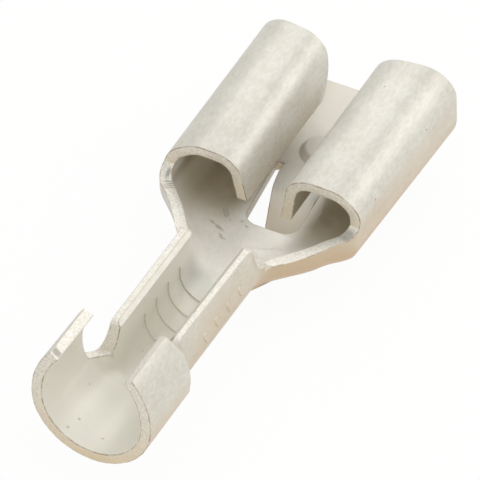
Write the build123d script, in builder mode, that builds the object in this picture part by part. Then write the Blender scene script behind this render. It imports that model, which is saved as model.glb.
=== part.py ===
from build123d import *
from math import atan, degrees, radians, sqrt, tan
import os

os.makedirs("parts", exist_ok=True)

# A spade receptacle pressed from one strip of sheet brass. All lengths are in mm.
# It is drawn with X across, Y towards the mouth from the rear ends of the rolls, and Z up
# from the underside of the receptacle floor, and moved to its own frame at the end.
sheet = 0.40

# Receptacle: a flat floor whose two sides are rolled over until they face it.
half_width = 4.02
roll_length = 7.0
floor_front = 7.6
side_bend = 1.05
roll_top = 3.31
roll_shoulder = 3.64
roll_outer_radius = 1.30
roll_crest = 1.20
roll_inner_radius = 1.00
tip_x = 0.67
tip_gap = 1.00
tip_corner = 1.50

# Window in the floor with a tongue that springs down out of it.
window_rear = 0.04
window_front = 3.20
window_rear_half = 0.84
window_front_half = 1.12
window_corner = 0.55
window_front_corner = 0.12
tongue_root_half = 0.86
tongue_tip_half = 0.50
tongue_bend_at = 2.40
tongue_bend = 0.30
tongue_angle = 52.0
tongue_arm = 1.30
tongue_corner = 0.22

# Locking dimple pressed up in the middle of the floor.
dimple_y = 4.30
dimple_radius = 0.79
dimple_top_radius = 0.58
dimple_side = 0.26
dimple_height = 0.32
dimple_round = 0.14
dimple_inset = 0.20
dimple_wall = 0.30

# Small round dents in the floor under the rolls.
dent_x = 1.83
dent_y = 1.26
dent_radius = 0.38
dent_depth = 0.12

# Wire barrel: an open U with grooves across its inside.
wire_front = -3.85
wire_rear = -8.70
wire_half = 1.43
wire_base = 0.32
wire_flat = 0.02
wire_top = 3.05
groove_first = -4.70
groove_pitch = 0.857
groove_count = 4
groove_width = 0.28
groove_depth = 0.09
groove_top = 2.10
mark_radius = 0.22
mark_height = 0.05
mark_root = 0.10
mark_draft = 30.0
wing_bevel = 0.15

# Insulation barrel: a wider cradle whose wings lean in over the insulation.
cradle_rear = -12.76
cradle_front = -9.70
cradle_half = 2.33
cradle_base = 0.39
cradle_flat = 0.02
wing_straight = 0.09
wing_radius = 3.10
wing_top = 4.80

# Edge line of the strip seen from the side, between the rolls and the rear barrel.
shoulder_run = 0.36
shoulder_edge = 1.55
valley_y = -3.00
valley_z = 1.82
wing_front = -3.60
wing_rear = -8.76
notch_z = 1.84
notch_front = -9.22
notch_rear = -9.78
wing_edge = -9.97
wing_edge_top = 3.90
wing_lean = 0.75
edge_radii = (0.3, 0.35, 0.45, 0.25, 0.22, 0.22, 0.9)

# The U sections are drawn this high, and what is above the edge line is cut away. Cutters
# reach this far past the faces that they cut.
blank_top = 3.6
reach = 0.5

wire_bend = wire_half - wire_flat / 2
cradle_bend = cradle_half - cradle_flat / 2
wing_start = cradle_base + cradle_bend + wing_straight
tip_z = sheet + tip_gap
tip_slope = (roll_crest - tip_x) / (roll_top - tip_z)
roll_slope = (half_width - roll_shoulder) / roll_top
roll_half = half_width - roll_slope * shoulder_edge
floor_half = half_width - side_bend * (sqrt(1 + roll_slope**2) + roll_slope)


def barrel_section(y, half, base, bend, skew=1.0, flare=0.0):
    # Cross-section of the strip bent up into a U, on the plane at this y. half is the half
    # width at the height of the edge line, flare leans the walls outwards in degrees, and
    # skew thickens a wall that runs aslant, because this plane cuts it at an angle.
    slope = tan(radians(flare))
    wall = sheet * skew * sqrt(1 + slope**2)
    foot = half - slope * (shoulder_edge - base)
    head = half + slope * (blank_top - shoulder_edge)
    with BuildSketch(Plane.XZ.offset(-y)) as section:
        with BuildLine():
            outer = FilletPolyline(
                (-head, blank_top), (-foot, base), (foot, base), (head, blank_top), radius=bend
            )
            inner = FilletPolyline(
                (-head + wall, blank_top),
                (-foot + wall - slope * sheet, base + sheet),
                (foot - wall + slope * sheet, base + sheet),
                (head - wall, blank_top),
                radius=bend - sheet * skew,
            )
            Line(outer @ 0, inner @ 0)
            Line(outer @ 1, inner @ 1)
        make_face()
    return section.sketch


with BuildPart() as receptacle:
    # Floor, sides and rolls as one bent strip of constant thickness.
    with BuildSketch(Plane.XZ):
        with BuildLine():
            FilletPolyline(
                (0, 0),
                (half_width, 0),
                (roll_shoulder, roll_top),
                (roll_crest, roll_top),
                (tip_x - tip_slope * reach, tip_z - reach),
                radius=(side_bend, roll_outer_radius, roll_inner_radius),
            )
            offset(amount=sheet, side=Side.RIGHT)
        make_face()
        mirror(about=Plane.YZ)
        with Locations((0, tip_z)):
            Rectangle(
                2 * (roll_crest + sheet),
                2 * reach,
                align=(Align.CENTER, Align.MAX),
                mode=Mode.SUBTRACT,
            )
    extrude(amount=-roll_length)

    # The inner walls of the rolls are cut back in a round corner at the mouth.
    with BuildSketch(Plane.YZ):
        with BuildLine():
            round_corner = JernArc((roll_length - tip_corner, tip_z), (1, 0), tip_corner, 90)
            Polyline(
                round_corner @ 1,
                (roll_length + reach, tip_z + tip_corner),
                (roll_length + reach, tip_z - reach),
                (roll_length - tip_corner, tip_z - reach),
                round_corner @ 0,
            )
        make_face()
    extrude(amount=(roll_crest + roll_shoulder) / 2, both=True, mode=Mode.SUBTRACT)

    # The floor runs on a little past the rolls.
    with BuildSketch(Plane.XY):
        with Locations((0, floor_front)):
            Rectangle(
                2 * floor_half,
                floor_front - roll_length + sheet,
                align=(Align.CENTER, Align.MAX),
            )
    extrude(amount=sheet)

    # Window between the rolls.
    with BuildSketch(Plane.XY):
        with BuildLine():
            FilletPolyline(
                (0, window_rear),
                (window_rear_half, window_rear),
                (window_front_half, window_front),
                (0, window_front),
                radius=(window_corner, window_front_corner),
            )
            Line((0, window_front), (0, window_rear))
        make_face()
        mirror(about=Plane.YZ)
    extrude(amount=sheet, mode=Mode.SUBTRACT)

# Tongue: a flat root, a bend and a straight arm, tapered in plan, with rounded tip corners.
with BuildPart() as tongue:
    with BuildSketch(Plane.YZ):
        with BuildLine():
            root = Line((window_front, 0), (tongue_bend_at, 0))
            bend = JernArc(root @ 1, root % 1, tongue_bend, tongue_angle)
            arm = Line(bend @ 1, bend @ 1 + (bend % 1) * tongue_arm)
            offset(amount=sheet, side=Side.RIGHT)
        make_face()
    extrude(amount=tongue_root_half, both=True)
    plan_tip = (arm @ 1).X - sheet
    with BuildSketch(Plane.XY):
        with BuildLine():
            Polyline(
                (0, plan_tip),
                (tongue_tip_half, plan_tip),
                (tongue_root_half, tongue_bend_at + sheet),
                (tongue_root_half, window_front),
                (0, window_front),
                (0, plan_tip),
            )
        make_face()
        mirror(about=Plane.YZ)
    extrude(amount=2 * tongue_arm, both=True, mode=Mode.INTERSECT)
    tip_face = tongue.faces().sort_by(Axis((0, 0, 0), (0, -1, -1)))[-1]
    fillet(tip_face.edges().sort_by(SortBy.LENGTH)[:2], tongue_corner)

# Shoulders: the strip narrows from the receptacle to the wire barrel, and its walls flare.
# Each row is the share of the way along, the share of the width still to lose, the share
# of the rise and of the change of bend, the wall's thickness straight across, and its flare.
narrowing = (
    (0.0, 1.0, 0.0, 0.0, 1.0, -degrees(atan(roll_slope))),
    (0.114, 0.941, 0.02, 0.05, 1.15, 1.0),
    (0.312, 0.70, 0.12, 0.20, 1.27, 10.0),
    (0.52, 0.441, 0.33, 0.35, 1.30, 17.0),
    (0.732, 0.178, 0.66, 0.60, 1.26, 15.0),
    (0.883, 0.029, 0.90, 0.85, 1.08, 5.0),
    (1.0, 0.0, 1.0, 1.0, 1.0, 0.0),
)
with BuildPart() as shoulders:
    for along, wide, rise, rounder, skew, flare in narrowing:
        add(
            barrel_section(
                along * wire_front,
                wire_half + wide * (roll_half - wire_half),
                rise * wire_base,
                side_bend + rounder * (wire_bend - side_bend),
                skew=skew,
                flare=flare,
            )
        )
    loft()

groove_middles = [groove_first - step * groove_pitch for step in range(groove_count)]
groove_half = wire_half - sheet + groove_depth
groove_base = wire_base + sheet - groove_depth
with BuildPart() as grooves:
    for middle in groove_middles:
        with BuildSketch(Plane.XZ.offset(-middle - groove_width / 2)):
            with BuildLine():
                FilletPolyline(
                    (-groove_half, groove_top),
                    (-groove_half, groove_base),
                    (groove_half, groove_base),
                    (groove_half, groove_top),
                    radius=wire_bend - sheet + groove_depth,
                )
                Line((groove_half, groove_top), (-groove_half, groove_top))
            make_face()
        extrude(amount=groove_width)

with BuildPart() as wire_barrel:
    extrude(
        barrel_section(wire_front, wire_half, wire_base, wire_bend),
        amount=wire_front - wire_rear,
    )
    add(grooves.part, mode=Mode.SUBTRACT)
    # The groove ends show through on the outside as small raised marks.
    for middle in groove_middles:
        for side in (-1, 1):
            start = (side * (wire_half - mark_root), middle, groove_top)
            with BuildSketch(Plane(start, x_dir=(0, 1, 0), z_dir=(side, 0, 0))):
                Circle(mark_radius)
            extrude(amount=mark_root + mark_height, taper=mark_draft)

# Neck between the barrels. Each row is the share of the way along, the share of the width
# gained, and the wall's thickness straight across.
widening = (
    (0.0, 0.0, 1.0),
    (0.2, 0.02, 1.05),
    (0.4, 0.16, 1.2),
    (0.6, 0.50, 1.3),
    (0.8, 0.86, 1.2),
    (0.93, 0.985, 1.05),
    (1.0, 1.0, 1.0),
)
with BuildPart() as neck:
    for along, wide, skew in widening:
        add(
            barrel_section(
                wire_rear + along * (cradle_front - wire_rear),
                wire_half + wide * (cradle_half - wire_half),
                wire_base + wide * (cradle_base - wire_base),
                wire_bend + wide * (cradle_bend - wire_bend),
                skew=skew,
            )
        )
    loft()

with BuildPart() as cradle:
    with BuildSketch(Plane.XZ.offset(-cradle_front)):
        with BuildLine():
            lower = FilletPolyline(
                (0, cradle_base),
                (cradle_half, cradle_base),
                (cradle_half, wing_start),
                radius=cradle_bend,
            )
            wing_reach = sqrt(wing_radius**2 - (wing_top - wing_start) ** 2)
            RadiusArc(
                lower @ 1,
                (cradle_half - wing_radius + wing_reach, wing_top),
                -wing_radius,
            )
            offset(amount=sheet, side=Side.LEFT)
        make_face()
        mirror(about=Plane.YZ)
    extrude(amount=cradle_front - cradle_rear)

# Locking dimple: a steep round side and a low domed top, hollow underneath.
dimple_axis = Axis((0, dimple_y, 0), (0, 0, 1))
with BuildPart() as dimple:
    with BuildSketch(Plane.XZ.offset(-dimple_y)):
        with BuildLine():
            upper = FilletPolyline(
                (dimple_radius, sheet),
                (dimple_top_radius, sheet + dimple_side),
                (0, sheet + dimple_height),
                radius=dimple_round,
            )
            Polyline(upper @ 1, (0, sheet / 2), (dimple_radius, sheet / 2), upper @ 0)
        make_face()
    revolve(axis=dimple_axis)

with BuildPart() as hollow:
    with BuildSketch(Plane.XZ.offset(-dimple_y)):
        with BuildLine():
            Polyline(
                (0, 0),
                (dimple_radius - dimple_inset, 0),
                (dimple_top_radius - dimple_inset, sheet + dimple_side - dimple_wall),
                (0, sheet + dimple_height - dimple_wall),
                (0, 0),
            )
        make_face()
    revolve(axis=dimple_axis)

with BuildPart() as terminal:
    for piece in (cradle, neck, wire_barrel, shoulders, receptacle, tongue):
        add(piece.part)

    # Everything above the strip's edge line is taken off from the side.
    with BuildSketch(Plane.YZ):
        with BuildLine():
            edge = FilletPolyline(
                (0, roll_top - roll_outer_radius),
                (-shoulder_run, shoulder_edge),
                (valley_y, valley_z),
                (wing_front, wire_top),
                (wing_rear, wire_top),
                (notch_front, notch_z),
                (notch_rear, notch_z),
                (wing_edge, wing_edge_top),
                (wing_edge - wing_lean, wing_top + 2 * reach),
                radius=edge_radii,
            )
            Polyline(edge @ 1, (0, wing_top + 2 * reach), edge @ 0)
        make_face()
    extrude(amount=half_width + reach, both=True, mode=Mode.SUBTRACT)

    add(dimple.part)
    add(hollow.part, mode=Mode.SUBTRACT)

    # Each dent is the lowest part of a ball pressed into the floor.
    dent_ball = (dent_radius**2 + dent_depth**2) / (2 * dent_depth)
    dent_z = sheet - dent_depth + dent_ball
    with Locations((dent_x, dent_y, dent_z), (-dent_x, dent_y, dent_z)):
        Sphere(dent_ball, mode=Mode.SUBTRACT)

    # The inner top edges of the wire barrel's wings are coined to a slant.
    with BuildSketch(Plane.XZ.offset(-wing_front)):
        with BuildLine():
            Polyline(
                (wire_half - sheet, wire_top - wing_bevel),
                (wire_half - sheet + wing_bevel + reach, wire_top + reach),
                (wire_half - sheet - reach, wire_top + reach),
                (wire_half - sheet - reach, wire_top - wing_bevel - reach),
                close=True,
            )
        make_face()
        mirror(about=Plane.YZ)
    extrude(amount=wing_front - notch_front, mode=Mode.SUBTRACT)

# The part's own frame has its origin under the middle of the strip, level with the tongue.
with BuildPart() as finished:
    lowest = terminal.part.bounding_box().min.Z
    with Locations((0, -(cradle_rear + floor_front) / 2, -lowest)):
        add(terminal.part)

spade_receptacle = finished.part.solid()
spade_receptacle.label = "spade_receptacle"
export_step(spade_receptacle, "parts/spade_receptacle.step")
print("lowest", lowest, "valid", spade_receptacle.is_valid, "volume", spade_receptacle.volume)
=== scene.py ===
# A female spade terminal, pressed from tin-plated brass strip, on a plain pale floor.
# The CAD model gives the form. This file bends a copy of it a little, rounds its
# sheared edges, finishes its surfaces and lights it as in the photograph.
# X runs across the strip, Y towards its mouth and Z up from the ground. Numbers are in
# millimetres where a note says so, and mm turns them into metres.
import math

import bmesh
import bpy
from mathutils import Matrix, Vector
from mathutils.bvhtree import BVHTree


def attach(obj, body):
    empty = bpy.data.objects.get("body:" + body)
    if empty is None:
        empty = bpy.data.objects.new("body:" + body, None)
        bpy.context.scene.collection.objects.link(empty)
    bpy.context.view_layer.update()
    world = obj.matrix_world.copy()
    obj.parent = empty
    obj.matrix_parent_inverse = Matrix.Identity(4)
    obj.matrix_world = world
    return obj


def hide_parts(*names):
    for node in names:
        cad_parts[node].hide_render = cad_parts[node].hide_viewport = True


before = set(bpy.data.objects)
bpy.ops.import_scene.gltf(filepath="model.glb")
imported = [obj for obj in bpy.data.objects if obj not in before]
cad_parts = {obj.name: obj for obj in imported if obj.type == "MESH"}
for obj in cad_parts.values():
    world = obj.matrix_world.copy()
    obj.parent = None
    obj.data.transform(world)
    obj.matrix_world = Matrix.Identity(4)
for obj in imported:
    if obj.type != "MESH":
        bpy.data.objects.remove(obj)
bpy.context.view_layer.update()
mm = 0.001
print("frame loaded")


def colour(hexText):
    # an sRGB hex colour as the linear numbers that shaders use
    channels = [int(hexText[i : i + 2], 16) / 255 for i in (1, 3, 5)]
    linear = [c / 12.92 if c <= 0.04045 else ((c + 0.055) / 1.055) ** 2.4 for c in channels]
    return (*linear, 1.0)


def addNode(tree, kind, settings):
    # adds a node and returns its outputs; a setting is a property, an input's value, or the
    # output that an input reads. A Mix of colours has them in inputs 6 and 7 and output 2.
    made = tree.nodes.new(kind)
    for name, value in settings.items():
        if isinstance(value, bpy.types.NodeSocket):
            tree.links.new(value, made.inputs[name])
        elif isinstance(name, str) and hasattr(made, name):
            setattr(made, name, value)
        else:
            made.inputs[name].default_value = value
    return made.outputs


def newMaterial(name):
    made = bpy.data.materials.new(name)
    made.use_nodes = True
    made.node_tree.nodes.clear()
    return made, made.node_tree


# Scratches, spots and worn patches are ovals, each with its middle and half sizes in mm and
# its turn about Z in degrees. Noise pulls their outlines about.
markLook = {
    "ragged": 0.06,  # mm, how far an outline is pulled
    "raggedGrain": 0.1,  # mm, across one bump of it
    "edge": 1.2,  # of the half sizes, where a mark begins to show
    "scratchHeight": 1.54,  # mm, the upper side of the receptacle's floor
    "scratchHalfWidth": 0.045,  # mm
    "scratchHalfDepth": 0.3,  # mm
}


def scratch(x, y, halfLength, turn):
    half = (halfLength, markLook["scratchHalfWidth"], markLook["scratchHalfDepth"])
    return {"middle": (x, y, markLook["scratchHeight"]), "half": half, "turn": turn}


def spot(x, y, z, radius):
    return {"middle": (x, y, z), "half": (radius, radius, radius), "turn": 0}


# scratches on the receptacle's floor and spots in the insulation barrel
insideScratches = {
    "tint": "#B4ADA0",
    "core": 0.2,  # of the half sizes, within which the tint is full
    "ovals": [
        scratch(-1.66, 2.75, 0.17, -62),
        scratch(-1.51, 2.71, 0.26, -54),
        scratch(-1.53, 2.56, 0.16, -44),
        scratch(-1.76, 2.05, 0.17, -22),
        scratch(-1.50, 1.91, 0.21, -33),
        scratch(-1.36, 1.90, 0.24, -32),
        scratch(-1.10, 1.48, 0.17, -8),
        scratch(-1.20, 1.60, 0.14, -30),
        scratch(-0.86, 2.55, 0.07, -28),
        scratch(-0.60, 2.38, 0.10, -28),
        spot(-1.35, -7.88, 2.48, 0.06),
        spot(-1.12, -9.88, 2.29, 0.06),
        spot(-1.00, -9.28, 2.21, 0.06),
        spot(0.04, -9.52, 1.93, 0.06),
    ],
}
# spots on the insulation barrel's right wing and on the rolls
outsideSpots = {
    "tint": "#B4ADA0",
    "core": 0.2,
    "ovals": [
        spot(1.80, -9.87, 5.66, 0.05),
        spot(1.90, -8.86, 5.51, 0.05),
        spot(1.70, -9.08, 5.80, 0.06),
        spot(3.08, 8.61, 4.30, 0.05),
        spot(3.53, 9.37, 3.90, 0.08),
        spot(3.65, 8.61, 3.70, 0.05),
        spot(-0.77, 6.72, 2.89, 0.05),
    ],
}
# a painted grey reflection inside, where the shoulders meet the wire barrel
paintedBendReflection = {
    "tint": "#C4C3BB",
    "core": 0.0,
    "ovals": [{"middle": (-0.7, -1.3, 2.3), "half": (0.9, 1.1, 0.9), "turn": 0}],
}
# a painted tan reflection on the outside of the wire barrel's right wing
paintedWingReflection = {
    "tint": "#C6B9A3",
    "core": 0.4,
    "ovals": [{"middle": (1.7, -3.6, 2.5), "half": (0.9, 3.0, 1.9), "turn": 0}],
}
# lines left by the tool on the left shoulder, and smears on both shoulders and on the
# insulation barrel's left wing
toolMarks = {
    "tint": "#A5A299",
    "core": 0.5,
    "ovals": [
        {"middle": (-3.47, 2.08, 2.71), "half": (0.25, 0.025, 0.3), "turn": 27},
        {"middle": (-3.42, 1.98, 2.71), "half": (0.25, 0.025, 0.3), "turn": 27},
        {"middle": (-3.37, 1.89, 2.71), "half": (0.25, 0.025, 0.3), "turn": 27},
        {"middle": (-3.32, 1.79, 2.71), "half": (0.25, 0.025, 0.3), "turn": 27},
        {"middle": (3.35, 2.3, 2.94), "half": (0.35, 0.26, 0.3), "turn": 0},
        {"middle": (3.3, 1.9, 2.7), "half": (0.12, 0.08, 0.2), "turn": 30},
        {"middle": (-3.62, 2.3, 2.9), "half": (0.1, 0.2, 0.3), "turn": 0},
        {"middle": (-1.47, -10.03, 5.83), "half": (0.3, 0.16, 0.3), "turn": 0},
    ],
}


def addMarks(tree, place, base, marks):
    grain = addNode(
        tree, "ShaderNodeTexNoise",
        {"Vector": place, "Scale": 1 / (markLook["raggedGrain"] * mm), "Detail": 3.0, "Roughness": 0.7},
    )["Color"]
    # the noise lies about 0.5
    pull = addNode(tree, "ShaderNodeVectorMath", {"operation": "SUBTRACT", 0: grain, 1: (0.5, 0.5, 0.5)})[0]
    reach = 2 * markLook["ragged"] * mm
    ragged = addNode(
        tree, "ShaderNodeVectorMath",
        {"operation": "MULTIPLY_ADD", 0: pull, 1: (reach, reach, reach), 2: place},
    )[0]
    share = 0.0
    for oval in marks["ovals"]:
        local = addNode(
            tree, "ShaderNodeMapping",
            {
                "vector_type": "TEXTURE",
                "Vector": ragged,
                "Location": [mm * value for value in oval["middle"]],
                "Rotation": (0, 0, math.radians(oval["turn"])),
                "Scale": [mm * value for value in oval["half"]],
            },
        )[0]
        away = addNode(tree, "ShaderNodeVectorMath", {"operation": "LENGTH", 0: local})["Value"]
        inside = addNode(
            tree, "ShaderNodeMapRange",
            {"Value": away, "From Min": markLook["edge"], "From Max": marks["core"]},
        )[0]
        share = addNode(tree, "ShaderNodeMath", {"operation": "MAXIMUM", 0: share, 1: inside})[0]
    return addNode(
        tree, "ShaderNodeMix", {"data_type": "RGBA", 0: share, 6: base, 7: colour(marks["tint"])}
    )[2]


# Tin over brass, plated before pressing: a satin, slightly warm silver with a fine mottle
# that pressing drew out along the strip, cloudy patches where the tin flowed, and a few
# small pits.
tinPlate = {
    "metallic": 0.25,  # the crystals of matt tin scatter the rest
    "roughnessSpread": 0.06,  # to either side of the middle
    "grain": 0.05,  # mm, the grain of the plating
    "grainHeight": 0.008,  # mm
    "grainStrength": 0.6,
    "mottle": 0.12,  # mm, across a small patch
    "drawn": 0.45,  # a small patch's width over its length
    "cloud": 1.1,  # mm, across a cloudy patch
    "mottleShare": 0.6,  # the small patches' share of the noise; the clouds have the rest
    "paleRange": (0.4, 0.6),  # of the noise, from the tin to its pale patches
    "pit": "#857C69",
    "pitSpacing": 0.62,  # mm between the cells that may hold a pit
    "pitSize": 0.065,  # of a cell, the largest pit
    "pitRim": 1 / 3,  # of the largest pit, over which a pit fades in
    "pitless": 0.4,  # of all cells
}
# Outside, low down and towards the rear, a painted warm reflection of the floor warms the tin.
outsideTin = {
    "tin": "#C7C3B7",
    "pale": "#D4D1C7",
    "roughness": 0.4,
    # the painted warm reflection
    "warm": "#C8AF8D",
    "warmTowards": (0.45, -0.45, -0.77),  # faces that look this way are warmest
    "warmFall": 0.1,  # less of it for each mm of height
    "warmRange": (-0.05, 0.6),  # of the two together, from none of it to all
    "marks": (paintedWingReflection, outsideSpots),
}
# Inside, the tin is painted lighter than outside, as painted light in the hollows. Painted
# shade makes it a little darker in the barrels, darker on the front of the floor and darkest
# under the rolls, and a painted warm reflection of the ground lies on the tongue. Each range,
# in mm, runs from where a tint begins to where it is full.
insideTin = {
    # painted light: lighter than the outside tin
    "tin": "#E5E1D7",
    "pale": "#EBE8E0",
    "roughness": 0.45,
    # painted shade in the barrels
    "barrel": "#E0DDD2",
    "barrelRange": (-0.4, -2.0),  # along the strip
    # painted shade on the front of the floor, between the rolls
    "floor": "#D4CFC4",
    "floorRange": (4.5, 6.5),  # along the strip
    # painted shade under the rolls and behind a roll's tip
    "deep": "#BBB099",
    "sideRange": (0.9, 1.7),  # from the strip's middle
    "aboveRange": (1.7, 2.3),  # above the ground
    "intoRange": (0.4, 2.3),  # along the strip
    "intoSlant": 0.8,  # mm further in for each mm of height
    "mouthRange": (7.2, 4.2),  # along the strip, as light falls in from the mouth
    "mouthLeast": 0.35,
    "tipRange": (2.0, 1.6),  # from the strip's middle
    "rollRange": (2.3, 2.6),  # along the strip
    # a painted warm reflection of the ground on the tongue
    "tongue": "#E4DCCD",
    "tongueRange": (1.5, 0.9),  # above the ground
    "marks": (paintedBendReflection, insideScratches),
}


# paints the warm reflection of the floor onto the outside tin, by facing and height
def paintWarmReflection(tree, place, base, look):
    normal = addNode(tree, "ShaderNodeTexCoord", {})["Normal"]
    lean = addNode(
        tree, "ShaderNodeVectorMath", {"operation": "DOT_PRODUCT", 0: normal, 1: look["warmTowards"]}
    )["Value"]
    fall = addNode(
        tree, "ShaderNodeVectorMath",
        {"operation": "DOT_PRODUCT", 0: place, 1: (0, 0, -look["warmFall"] / mm)},
    )["Value"]
    both = addNode(tree, "ShaderNodeMath", {"operation": "ADD", 0: lean, 1: fall})[0]
    start, end = look["warmRange"]
    warm = addNode(tree, "ShaderNodeMapRange", {"Value": both, "From Min": start, "From Max": end})[0]
    return addNode(tree, "ShaderNodeMix", {"data_type": "RGBA", 0: warm, 6: base, 7: colour(look["warm"])})[2]


# paints shade in the barrels, on the front of the floor, under the rolls and behind a roll's tip, and a warm
# reflection on the tongue
def paintShadeAndReflectionInside(tree, place, base, look):
    x, y, z = addNode(tree, "ShaderNodeSeparateXYZ", {0: place})
    aside = addNode(tree, "ShaderNodeMath", {"operation": "ABSOLUTE", 0: x})[0]
    # high up in a roll the painted shade starts further in
    into = addNode(
        tree, "ShaderNodeVectorMath",
        {"operation": "DOT_PRODUCT", 0: place, 1: (0, 1, -look["intoSlant"])},
    )["Value"]
    share = {}
    for tint, distance, change in (
        ("barrel", y, "SMOOTHSTEP"),
        ("floor", y, "SMOOTHSTEP"),
        ("side", aside, "SMOOTHSTEP"),
        ("above", z, "SMOOTHSTEP"),
        ("into", into, "SMOOTHSTEP"),
        ("mouth", y, "SMOOTHSTEP"),
        ("tip", aside, "SMOOTHSTEP"),
        ("roll", y, "LINEAR"),
        ("tongue", z, "LINEAR"),
    ):
        start, end = look[tint + "Range"]
        share[tint] = addNode(
            tree, "ShaderNodeMapRange",
            {
                "interpolation_type": change,
                "Value": distance,
                "From Min": start * mm,
                "From Max": end * mm,
                "To Min": look.get(tint + "Least", 0.0),
            },
        )[0]
    # the painted shade, deep, lies far enough into a roll, and on the hidden side of its tip all along
    for result, operation, first, second in (
        ("under", "MAXIMUM", "side", "above"),
        ("under", "MULTIPLY", "under", "into"),
        ("tip", "MULTIPLY", "tip", "above"),
        ("tip", "MULTIPLY", "tip", "roll"),
        ("deep", "MAXIMUM", "under", "tip"),
        ("deep", "MULTIPLY", "deep", "mouth"),
    ):
        share[result] = addNode(
            tree, "ShaderNodeMath", {"operation": operation, 0: share[first], 1: share[second]}
        )[0]
    for tint in ("barrel", "floor", "deep", "tongue"):
        base = addNode(
            tree, "ShaderNodeMix", {"data_type": "RGBA", 0: share[tint], 6: base, 7: colour(look[tint])}
        )[2]
    return base


def addPits(tree, place, base, look):
    cells = addNode(
        tree, "ShaderNodeTexVoronoi",
        {"Vector": place, "Scale": 1 / (look["pitSpacing"] * mm), "Randomness": 1.0},
    )
    # each cell draws its own pit size, and many draw none
    draw = addNode(tree, "ShaderNodeSeparateColor", {0: cells["Color"]})[0]
    reach = addNode(
        tree, "ShaderNodeMapRange",
        {"Value": draw, "From Min": look["pitless"], "From Max": 1.0, "To Max": look["pitSize"]},
    )[0]
    inside = addNode(tree, "ShaderNodeMath", {"operation": "SUBTRACT", 0: reach, 1: cells["Distance"]})[0]
    rim = look["pitSize"] * look["pitRim"]
    pits = addNode(tree, "ShaderNodeMapRange", {"Value": inside, "From Min": 0.0, "From Max": rim})[0]
    return addNode(tree, "ShaderNodeMix", {"data_type": "RGBA", 0: pits, 6: base, 7: colour(look["pit"])})[2]


def makeTinPlate(name, plate, side, tintSide):
    material, tree = newMaterial(name)
    place = addNode(tree, "ShaderNodeTexCoord", {})["Object"]
    along = addNode(
        tree, "ShaderNodeVectorMath", {"operation": "MULTIPLY", 0: place, 1: (1.0, plate["drawn"], 1.0)}
    )[0]
    noise = {}
    for size, source in (("cloud", place), ("mottle", along), ("grain", place)):
        noise[size] = addNode(
            tree, "ShaderNodeTexNoise",
            {"Vector": source, "Scale": 1 / (plate[size] * mm), "Detail": 3.0, "Roughness": 0.6},
        )["Fac"]
    patches = addNode(
        tree, "ShaderNodeMix",
        {"data_type": "FLOAT", 0: plate["mottleShare"], 2: noise["cloud"], 3: noise["mottle"]},
    )[0]
    start, end = plate["paleRange"]
    pale = addNode(tree, "ShaderNodeMapRange", {"Value": patches, "From Min": start, "From Max": end})[0]
    base = addNode(
        tree, "ShaderNodeMix",
        {"data_type": "RGBA", 0: pale, 6: colour(side["tin"]), 7: colour(side["pale"])},
    )[2]
    base = tintSide(tree, place, base, side)
    base = addPits(tree, place, base, plate)
    for marks in side["marks"]:
        base = addMarks(tree, place, base, marks)
    middle, spread = side["roughness"], plate["roughnessSpread"]
    roughness = addNode(
        tree, "ShaderNodeMapRange",
        {"Value": noise["mottle"], "To Min": middle - spread, "To Max": middle + spread},
    )[0]
    bump = addNode(
        tree, "ShaderNodeBump",
        {"Height": noise["grain"], "Strength": plate["grainStrength"], "Distance": plate["grainHeight"] * mm},
    )[0]
    shader = addNode(
        tree, "ShaderNodeBsdfPrincipled",
        {"Base Color": base, "Metallic": plate["metallic"], "Roughness": roughness, "Normal": bump},
    )[0]
    addNode(tree, "ShaderNodeOutputMaterial", {"Surface": shader})
    return material


# The sheared faces are bare, torn brass with tin dragged over it: paler, rougher and granular.
# Where they look back, most of all low down, they are brassy: partly bare brass and partly a
# painted warm reflection of the floor.
shearedFace = {
    "bright": "#E6E3DA",
    "dull": "#D0CABD",
    "metallic": 0.4,
    "roughness": 0.5,
    "tear": 0.09,  # mm, the torn grain
    "tearHeight": 0.03,  # mm
    "tearStrength": 0.5,
    "tearRange": (0.36, 0.6),  # of the noise, from dull to bright
    # bare brass, with a painted warm reflection where it looks back and low down
    "brass": "#D9C5A2",
    "brassTowards": (0.2, -0.9, -0.35),  # faces that look this way show the most
    "brassRange": (0.55, 0.95),  # how straight they look there, from none of it to the most
    "brassMost": 0.9,
    "lowRange": (4.5, 1.4),  # mm above the ground
    "lowLeast": 0.1,
}


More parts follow.
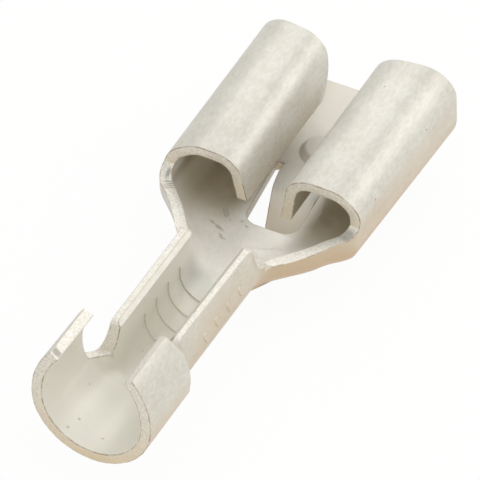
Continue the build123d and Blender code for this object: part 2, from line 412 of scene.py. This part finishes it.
def makeShearedFace(look):
    material, tree = newMaterial("shearedBrass")
    place = addNode(tree, "ShaderNodeTexCoord", {})["Object"]
    normal = addNode(tree, "ShaderNodeTexCoord", {})["Normal"]
    tear = addNode(
        tree, "ShaderNodeTexNoise",
        {"Vector": place, "Scale": 1 / (look["tear"] * mm), "Detail": 4.0, "Roughness": 0.7},
    )["Fac"]
    start, end = look["tearRange"]
    bright = addNode(tree, "ShaderNodeMapRange", {"Value": tear, "From Min": start, "From Max": end})[0]
    base = addNode(
        tree, "ShaderNodeMix",
        {"data_type": "RGBA", 0: bright, 6: colour(look["dull"]), 7: colour(look["bright"])},
    )[2]
    lean = addNode(
        tree, "ShaderNodeVectorMath", {"operation": "DOT_PRODUCT", 0: normal, 1: look["brassTowards"]}
    )["Value"]
    start, end = look["brassRange"]
    warm = addNode(
        tree, "ShaderNodeMapRange",
        {"Value": lean, "From Min": start, "From Max": end, "To Max": look["brassMost"]},
    )[0]
    height = addNode(tree, "ShaderNodeSeparateXYZ", {0: place})["Z"]
    start, end = look["lowRange"]
    low = addNode(
        tree, "ShaderNodeMapRange",
        {"Value": height, "From Min": start * mm, "From Max": end * mm, "To Min": look["lowLeast"]},
    )[0]
    brass = addNode(tree, "ShaderNodeMath", {"operation": "MULTIPLY", 0: warm, 1: low})[0]
    base = addNode(
        tree, "ShaderNodeMix", {"data_type": "RGBA", 0: brass, 6: base, 7: colour(look["brass"])}
    )[2]
    base = addMarks(tree, place, base, toolMarks)
    bump = addNode(
        tree, "ShaderNodeBump",
        {"Height": tear, "Strength": look["tearStrength"], "Distance": look["tearHeight"] * mm},
    )[0]
    shader = addNode(
        tree, "ShaderNodeBsdfPrincipled",
        {"Base Color": base, "Metallic": look["metallic"], "Roughness": look["roughness"], "Normal": bump},
    )[0]
    addNode(tree, "ShaderNodeOutputMaterial", {"Surface": shader})
    return material


# Along the sheared edges the plating is broken, and a thin brown line shows in patches, mostly
# where the edge looks back: partly bare brass and partly painted shade along the edges.
brokenEdge = {
    "tin": "#CFC8BA",
    # partly bare brass, partly painted shade
    "line": "#8F7A58",
    "metallic": 0.3,
    "roughness": 0.45,
    "patch": 0.35,  # mm
    "patchRange": (0.4, 0.6),  # of the noise, from tin to line
    "backRange": (0.1, 0.6),  # how far it looks back, from the least of the line to all
    "backLeast": 0.15,
}


def makeBrokenEdge(look):
    material, tree = newMaterial("brokenPlatingEdge")
    place = addNode(tree, "ShaderNodeTexCoord", {})["Object"]
    normal = addNode(tree, "ShaderNodeTexCoord", {})["Normal"]
    patch = addNode(
        tree, "ShaderNodeTexNoise",
        {"Vector": place, "Scale": 1 / (look["patch"] * mm), "Detail": 3.0, "Roughness": 0.7},
    )["Fac"]
    start, end = look["patchRange"]
    broken = addNode(tree, "ShaderNodeMapRange", {"Value": patch, "From Min": start, "From Max": end})[0]
    lean = addNode(
        tree, "ShaderNodeVectorMath", {"operation": "DOT_PRODUCT", 0: normal, 1: (0, -1, 0)}
    )["Value"]
    start, end = look["backRange"]
    back = addNode(
        tree, "ShaderNodeMapRange",
        {"Value": lean, "From Min": start, "From Max": end, "To Min": look["backLeast"]},
    )[0]
    line = addNode(tree, "ShaderNodeMath", {"operation": "MULTIPLY", 0: broken, 1: back})[0]
    base = addNode(
        tree, "ShaderNodeMix", {"data_type": "RGBA", 0: line, 6: colour(look["tin"]), 7: colour(look["line"])}
    )[2]
    shader = addNode(
        tree, "ShaderNodeBsdfPrincipled",
        {"Base Color": base, "Metallic": look["metallic"], "Roughness": look["roughness"]},
    )[0]
    addNode(tree, "ShaderNodeOutputMaterial", {"Surface": shader})
    return material


# The grooves across the wire barrel are shallower than in the CAD model.
wireGrooves = {
    "middles": (-2.12, -2.977, -3.834, -4.691),  # mm along the strip
    "half": 0.16,  # mm, half a groove and a little more
    "bendMiddle": 2.88,  # mm above the ground, the middle of the barrel's round floor
    "bendRadius": 1.02,  # mm, its inside
    "deep": 0.09,  # mm in the CAD model
    "left": 0.65,  # of that depth
}


def shallowGrooves(form, grooves):
    bottom = grooves["bendRadius"] + grooves["deep"]
    wanted = grooves["bendRadius"] + grooves["left"] * grooves["deep"]
    for vert in form.verts:
        if not any(abs(vert.co.y - middle) < grooves["half"] for middle in grooves["middles"]):
            continue
        core = Vector((0, vert.co.y, max(vert.co.z, grooves["bendMiddle"])))
        radius = (vert.co - core).length
        if abs(radius - bottom) < grooves["deep"] / 2:
            vert.co = core + (vert.co - core) * (wanted / radius)


# The bent strip isn't quite even. Each soft box of space, in mm, moves what lies in it, and a
# slant moves a roll's end along the strip too, turning it about the middle of the roll.
far = 99  # mm, past every side of the strip
rollMiddle = 2.4  # mm from the strip's middle
handBending = {
    "rightRoll": {"low": (0.9, 2.98, -far), "high": (far, far, far), "soft": 1.0, "move": (0, 0, 0.1)},
    "rightBottom": {"low": (2.6, 1.3, -far), "high": (far, 5.0, 3.2), "soft": 1.2, "move": (-0.16, 0, 0)},
    "rightSide": {"low": (2.6, 1.3, -far), "high": (far, far, 2.9), "soft": 1.2, "move": (-0.11, 0, 0)},
    "rightLeg": {"low": (0.3, 2.0, 2.84), "high": (1.9, far, 4.44), "soft": 0.8, "move": (-0.18, 0, 0)},
    "tongueRight": {"low": (0.3, -0.5, -far), "high": (0.95, 5.9, 1.6), "soft": 0.2, "move": (0.22, 0, 0)},
    "windowRight": {"low": (1.0, 4.9, 0.9), "high": (1.4, 5.98, 1.8), "soft": 0.1, "move": (-0.2, 0, 0)},
    "rightShoulder": {"low": (0.9, -1.62, -far), "high": (far, 2.5, 2.74), "soft": 1.2, "move": (0, 0, 0.27)},
    "leftCorner": {"low": (-far, 1.5, 1.9), "high": (-3.2, 3.1, 4.0), "soft": 0.8, "move": (-0.16, 0, 0)},
    "windowLeft": {"low": (-1.4, 4.9, 0.9), "high": (-1.0, 5.98, 1.8), "soft": 0.1, "move": (-0.07, 0, 0)},
    "tongueLeft": {"low": (-0.95, -0.5, -far), "high": (-0.3, 5.9, 1.6), "soft": 0.2, "move": (-0.05, 0, 0)},
    "cradleEnd": {"low": (-far, -far, -far), "high": (far, -9.6, far), "soft": 0.6, "move": (0, -0.06, 0)},
    "leftShoulder": {
        "low": (-far, -1.62, -far), "high": (-0.9, 1.98, 2.74), "soft": 1.2, "move": (-0.035, 0, -0.024),
    },
    "leftNotch": {
        "low": (-far, -7.72, 2.44), "high": (-0.5, -5.92, far), "soft": 0.5, "move": (0.088, -0.1, 0),
    },
    "leftRollEnd": {"low": (-far, 2.0, 3.2), "high": (-0.3, 5.5, far), "soft": 1.2, "move": (0.09, 0, -0.15)},
    "leftMouth": {
        "low": (-far, 8.58, 2.44), "high": (0, far, far), "soft": 1.0, "move": (0, -0.1, 0), "slant": 0.115,
    },
    "rightMouth": {
        "low": (0, 8.58, 2.44), "high": (far, far, far), "soft": 1.0, "move": (0, -0.027, 0), "slant": 0.164,
    },
    "rightMouthSide": {"low": (2.9, 8.58, 0.9), "high": (far, far, 2.6), "soft": 1.0, "move": (0, 0.17, 0)},
    "rightLegEnd": {"low": (0.3, 2.0, 2.0), "high": (1.9, 5.0, 3.0), "soft": 0.6, "move": (-0.05, 0, -0.2)},
    "rightWingTop": {"low": (0.6, -6.4, 3.2), "high": (far, -0.6, far), "soft": 1.0, "move": (-0.2, 0, 0.06)},
    "rightWingSide": {"low": (0.6, -5.8, 0.9), "high": (far, -1.5, 3.2), "soft": 0.8, "move": (0.12, 0, 0)},
    "wireBarrel": {"low": (-far, -5.82, -far), "high": (far, -0.82, far), "soft": 0.8, "move": (0.135, 0, 0)},
    "rightCradle": {"low": (0.5, -far, -far), "high": (far, -6.82, far), "soft": 0.8, "move": (-0.059, 0, 0)},
}


def easeInOut(share):
    share = min(max(share, 0), 1)
    return share * share * (3 - 2 * share)


def bendByHand(form, boxes):
    for vert in form.verts:
        start = vert.co.copy()
        for box in boxes.values():
            weight = 1
            for axis in range(3):
                weight *= easeInOut((start[axis] - box["low"][axis]) / box["soft"] + 0.5)
                weight *= easeInOut((box["high"][axis] - start[axis]) / box["soft"] + 0.5)
            vert.co += weight * Vector(box["move"])
            vert.co.y += weight * box.get("slant", 0) * (abs(start.x) - rollMiddle)


stripShape = {
    "merge": 0.0005,  # mm, points nearer than this are one
    "rayStart": 0.002,  # mm below a face
    "sheetLimit": 0.55,  # mm, a face with more metal than this behind it was sheared
    "sheetFacing": -0.85,  # -1 where the other side of a sheet looks straight away from the face
    "smallGroup": 1.0,  # square mm
    "wingRange": (-6.3, -0.9),  # mm along the strip, the wire barrel's wings
    "coinedAcross": (0.5, 0.9),  # how far a coined slant looks across the strip
    "coinedUp": 0.4,  # and at least how far up
    "flatAngle": 0.5,  # degrees, faces nearer than this to one plane are joined
    "edgeRound": 0.035,  # mm
    "edgeSteps": 2,
    "edgeProfile": 0.6,
    "sharpAngle": 40,  # degrees
    "smoothAngle": 35,  # degrees
}
outsideSlot, shearedSlot, edgeSlot, insideSlot = range(4)


def faceGroups(faces):
    # the groups of these faces that hang together
    left = set(faces)
    groups = []
    while left:
        group = {left.pop()}
        front = list(group)
        while front:
            near = {other for edge in front.pop().edges for other in edge.link_faces} & left
            left -= near
            group |= near
            front.extend(near)
        groups.append(group)
    return groups


def findSheared(form, shape):
    # a sheet face has the other side of the sheet close behind it; the rest were sheared
    skin = BVHTree.FromBMesh(form)
    sheared = set()
    for face in form.faces:
        start = face.calc_center_median() - face.normal * shape["rayStart"]
        hit, hitNormal, _, depth = skin.ray_cast(start, -face.normal)
        if hit is None or depth > shape["sheetLimit"] or hitNormal.dot(face.normal) > shape["sheetFacing"]:
            sheared.add(face)
    # the small groups are only the sides of grooves, marks and dents
    for group in faceGroups(sheared):
        if sum(face.calc_area() for face in group) < shape["smallGroup"]:
            sheared -= group
    return sheared


def findCoined(faces, shape):
    # the slants inside the wire barrel's wing tops are coined, not sheared
    rear, front = shape["wingRange"]
    least, most = shape["coinedAcross"]
    coined = set()
    for face in faces:
        slanted = least < abs(face.normal.x) < most and face.normal.z > shape["coinedUp"]
        if slanted and rear < face.calc_center_median().y < front:
            coined.add(face)
    return coined


def giveSlots(form, shape):
    sheared = findSheared(form, shape)
    coined = findCoined(sheared, shape)
    sheared -= coined
    for face in sheared:
        face.material_index = shearedSlot
    # the sheared edges part the sheet's two sides, and the outside has its lowest point
    sides = faceGroups(set(form.faces) - sheared)
    outside = min(sides, key=lambda side: min(vert.co.z for face in side for vert in face.verts))
    for side in sides:
        for face in side:
            face.material_index = outsideSlot if side is outside or face in coined else insideSlot


def selectShearedEdges(form, shape):
    for edge in form.edges:
        sheared = sum(face.material_index == shearedSlot for face in edge.link_faces)
        edge.select = sheared == 1 and edge.calc_face_angle(0) > math.radians(shape["sharpAngle"])
    form.select_flush_mode()


def makeStrip(cadNode, shape, materials):
    # a copy of the CAD strip, worked on in millimetres
    strip = bpy.data.objects.new("terminalStrip", cadNode.data.copy())
    bpy.context.scene.collection.objects.link(strip)
    strip.data.materials.clear()
    for material in materials:
        strip.data.materials.append(material)
    strip.data.transform(Matrix.Scale(1 / mm, 4))
    bpy.ops.object.select_all(action="DESELECT")
    strip.select_set(True)
    bpy.context.view_layer.objects.active = strip
    bpy.ops.object.mode_set(mode="EDIT")
    bpy.ops.mesh.select_mode(type="VERT")
    bpy.ops.mesh.customdata_custom_splitnormals_clear()
    bpy.ops.mesh.select_all(action="SELECT")
    bpy.ops.mesh.remove_doubles(threshold=shape["merge"])

    form = bmesh.from_edit_mesh(strip.data)
    shallowGrooves(form, wireGrooves)
    bmesh.update_edit_mesh(strip.data)
    giveSlots(form, shape)
    bendByHand(form, handBending)
    bmesh.update_edit_mesh(strip.data)
    bpy.ops.mesh.dissolve_limited(angle_limit=math.radians(shape["flatAngle"]), delimit={"MATERIAL"})

    # the sheared faces' sharp edges are rounded
    bpy.ops.mesh.select_all(action="DESELECT")
    bpy.ops.mesh.select_mode(type="EDGE")
    selectShearedEdges(bmesh.from_edit_mesh(strip.data), shape)
    bmesh.update_edit_mesh(strip.data)
    bpy.ops.mesh.bevel(
        offset=shape["edgeRound"], segments=shape["edgeSteps"], profile=shape["edgeProfile"],
        affect="EDGES", clamp_overlap=False, material=edgeSlot,
    )
    bpy.ops.object.mode_set(mode="OBJECT")
    strip.data.transform(Matrix.Scale(mm, 4))
    bpy.ops.object.shade_smooth_by_angle(angle=math.radians(shape["smoothAngle"]))
    return strip


# in the order of the slots
materials = [
    makeTinPlate("tinOutsidePaintedReflection", tinPlate, outsideTin, paintWarmReflection),
    makeShearedFace(shearedFace),
    makeBrokenEdge(brokenEdge),
    makeTinPlate("tinInsidePaintedLightAndShade", tinPlate, insideTin, paintShadeAndReflectionInside),
]
strip = makeStrip(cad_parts["spade_receptacle"], stripShape, materials)
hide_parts("spade_receptacle")
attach(strip, "root")
print("strip made:", len(strip.data.polygons), "faces")


# A plain matt floor in a pale room. The camera and the metal see both as white, and the
# floor keeps a soft shadow.
studio = {
    "floorSize": 6.0,  # metres
    "floorPaint": "#F5F2EB",
    "shadowShare": 0.05,  # how much of the floor's own shading the camera sees
    "roomStrength": 0.74,
    "white": (1, 1, 1, 1),
}


def seenRays(tree):
    # 1 for camera, glossy and transmission rays
    path = addNode(tree, "ShaderNodeLightPath", {})
    seen = path["Is Camera Ray"]
    for kind in ("Is Glossy Ray", "Is Transmission Ray"):
        seen = addNode(tree, "ShaderNodeMath", {"operation": "MAXIMUM", 0: seen, 1: path[kind]})[0]
    return seen


def makeFloor(look):
    material, tree = newMaterial("paleFloor")
    paint = addNode(tree, "ShaderNodeBsdfDiffuse", {"Color": colour(look["floorPaint"])})[0]
    white = addNode(tree, "ShaderNodeEmission", {"Color": look["white"], "Strength": 1.0})[0]
    share = addNode(
        tree, "ShaderNodeMath", {"operation": "MULTIPLY", 0: seenRays(tree), 1: 1 - look["shadowShare"]}
    )[0]
    mixed = addNode(tree, "ShaderNodeMixShader", {0: share, 1: paint, 2: white})[0]
    addNode(tree, "ShaderNodeOutputMaterial", {"Surface": mixed})
    bpy.ops.object.select_all(action="DESELECT")
    bpy.ops.mesh.primitive_plane_add(size=look["floorSize"], location=(0, 0, 0))
    floor = bpy.context.active_object
    floor.name = "floor"
    floor.data.materials.append(material)


def makeRoom(look):
    world = bpy.data.worlds.new("studioWorld")
    bpy.context.scene.world = world
    world.use_nodes = True
    tree = world.node_tree
    tree.nodes.clear()
    plain = addNode(
        tree, "ShaderNodeBackground", {"Color": look["white"], "Strength": look["roomStrength"]}
    )[0]
    white = addNode(tree, "ShaderNodeBackground", {"Color": look["white"], "Strength": 1.0})[0]
    mixed = addNode(tree, "ShaderNodeMixShader", {0: seenRays(tree), 1: plain, 2: white})[0]
    addNode(tree, "ShaderNodeOutputWorld", {"Surface": mixed})


makeFloor(studio)
makeRoom(studio)

# A wide soft box overhead, and two beyond the mouth that make the pale bands along each
# roll. Distances and sizes are in metres.
softBoxes = {
    "top": {"towards": (0.45, -0.25, 0.9), "distance": 0.3, "wide": 0.34, "tall": 0.34, "radiance": 0.74},
    "back": {"towards": (-0.33, 0.64, 0.69), "distance": 0.3, "wide": 0.12, "tall": 0.16, "radiance": 1.8},
    "right": {"towards": (0.61, 0.64, 0.47), "distance": 0.3, "wide": 0.2, "tall": 0.16, "radiance": 1.9},
}


def addSoftBox(name, look):
    lamp = bpy.data.lights.new(name, "AREA")
    lamp.shape = "RECTANGLE"
    lamp.size = look["wide"]
    lamp.size_y = look["tall"]
    lamp.energy = look["radiance"] * math.pi * look["wide"] * look["tall"]
    box = bpy.data.objects.new(name, lamp)
    bpy.context.scene.collection.objects.link(box)
    towards = Vector(look["towards"]).normalized()
    box.location = towards * look["distance"]
    box.rotation_euler = towards.to_track_quat("Z", "Y").to_euler()
    box.visible_camera = False


for name, look in softBoxes.items():
    addSoftBox(name + "SoftBox", look)
print("studio made")

# A long lens from far off, because the photograph shows hardly any perspective.
cameraView = {
    "aim": (-0.045, 0.818, 2.478),  # mm
    "azimuth": 27.4,  # degrees, from straight behind the strip towards its right
    "elevation": 43.9,  # degrees
    "distance": 0.7574,  # metres
    "lens": 1650,  # mm
    "sensor": 36,  # mm
    "clipEnd": 20,  # metres
}


def addCamera(look):
    turn, rise = math.radians(look["azimuth"]), math.radians(look["elevation"])
    back = Vector((math.sin(turn) * math.cos(rise), -math.cos(turn) * math.cos(rise), math.sin(rise)))
    camera = bpy.data.objects.new("camera", bpy.data.cameras.new("camera"))
    bpy.context.scene.collection.objects.link(camera)
    camera.data.lens = look["lens"]
    camera.data.sensor_width = look["sensor"]
    camera.data.clip_end = look["clipEnd"]
    camera.location = Vector(look["aim"]) * mm + back * look["distance"]
    camera.rotation_euler = (-back).to_track_quat("-Z", "Y").to_euler()
    bpy.context.scene.camera = camera


addCamera(cameraView)
bpy.context.scene.view_settings.view_transform = "Standard"
print("camera made")
